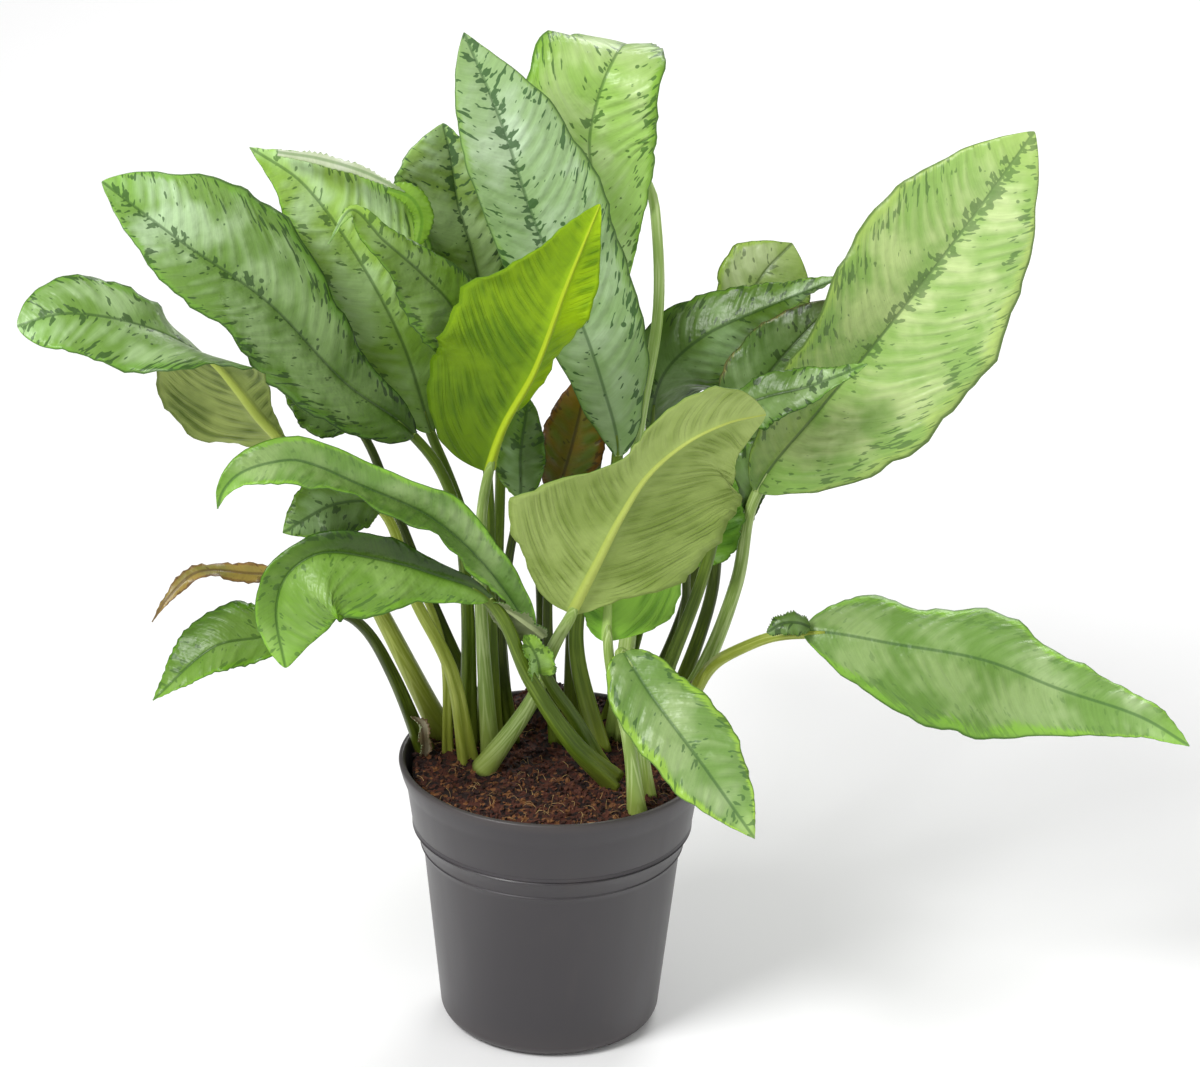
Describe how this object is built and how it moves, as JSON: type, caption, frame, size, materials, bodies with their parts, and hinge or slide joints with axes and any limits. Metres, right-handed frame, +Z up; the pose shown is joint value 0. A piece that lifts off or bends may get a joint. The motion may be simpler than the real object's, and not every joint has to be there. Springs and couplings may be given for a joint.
{
  "type": "potted chinese evergreen",
  "caption": "Bushy foliage house plant of broad pointed blades on long upright stalks, growing in soil in a round tapered nursery pot with drainage holes.",
  "frame": {"origin": "centre of the pot's underside, on the ground", "axes": "+Z up along the pot's axis; -Y towards the side the plant is looked at from; +X to that viewer's right"},
  "size_m": [0.7669, 0.4821, 0.7005],
  "materials": {
    "pot_plastic": "satin dark grey",
    "soil": "rough moist potting soil of coir and peat",
    "leaf_green": "satin living leaf",
    "stalk_green": "satin living stalk"
  },
  "bodies": {
    "root": {"pot": "pot_plastic", "soil": "soil", "stalk_01": "stalk_green", "stalk_02": "stalk_green", "stalk_03": "stalk_green", "stalk_04": "stalk_green", "stalk_05": "stalk_green", "stalk_06": "stalk_green", "stalk_07": "stalk_green", "stalk_08": "stalk_green", "stalk_09": "stalk_green", "stalk_10": "stalk_green", "stalk_11": "stalk_green", "stalk_12": "stalk_green", "stalk_13": "stalk_green", "stalk_14": "stalk_green", "stalk_15": "stalk_green", "stalk_16": "stalk_green", "stalk_17": "stalk_green", "stalk_18": "stalk_green", "stalk_19": "stalk_green", "stalk_20": "stalk_green", "stalk_21": "stalk_green", "stalk_22": "stalk_green", "stalk_23": "stalk_green", "stalk_24": "stalk_green", "stalk_25": "stalk_green", "stalk_26": "stalk_green", "stalk_27": "stalk_green", "stalk_28": "stalk_green", "blade_01": "leaf_green", "blade_02": "leaf_green", "blade_03": "leaf_green", "blade_04": "leaf_green", "blade_05": "leaf_green", "blade_06": "leaf_green", "blade_07": "leaf_green", "blade_08": "leaf_green", "blade_09": "leaf_green", "blade_10": "leaf_green", "blade_11": "leaf_green", "blade_12": "leaf_green", "blade_13": "leaf_green", "blade_14": "leaf_green", "blade_15": "leaf_green", "blade_16": "leaf_green", "blade_17": "leaf_green", "blade_18": "leaf_green", "blade_19": "leaf_green", "blade_20": "leaf_green", "blade_21": "leaf_green", "blade_22": "leaf_green", "blade_23": "leaf_green", "blade_24": "leaf_green", "blade_25": "leaf_green", "blade_26": "leaf_green", "blade_27": "leaf_green", "blade_28": "leaf_green"}
  },
  "joints": []
}
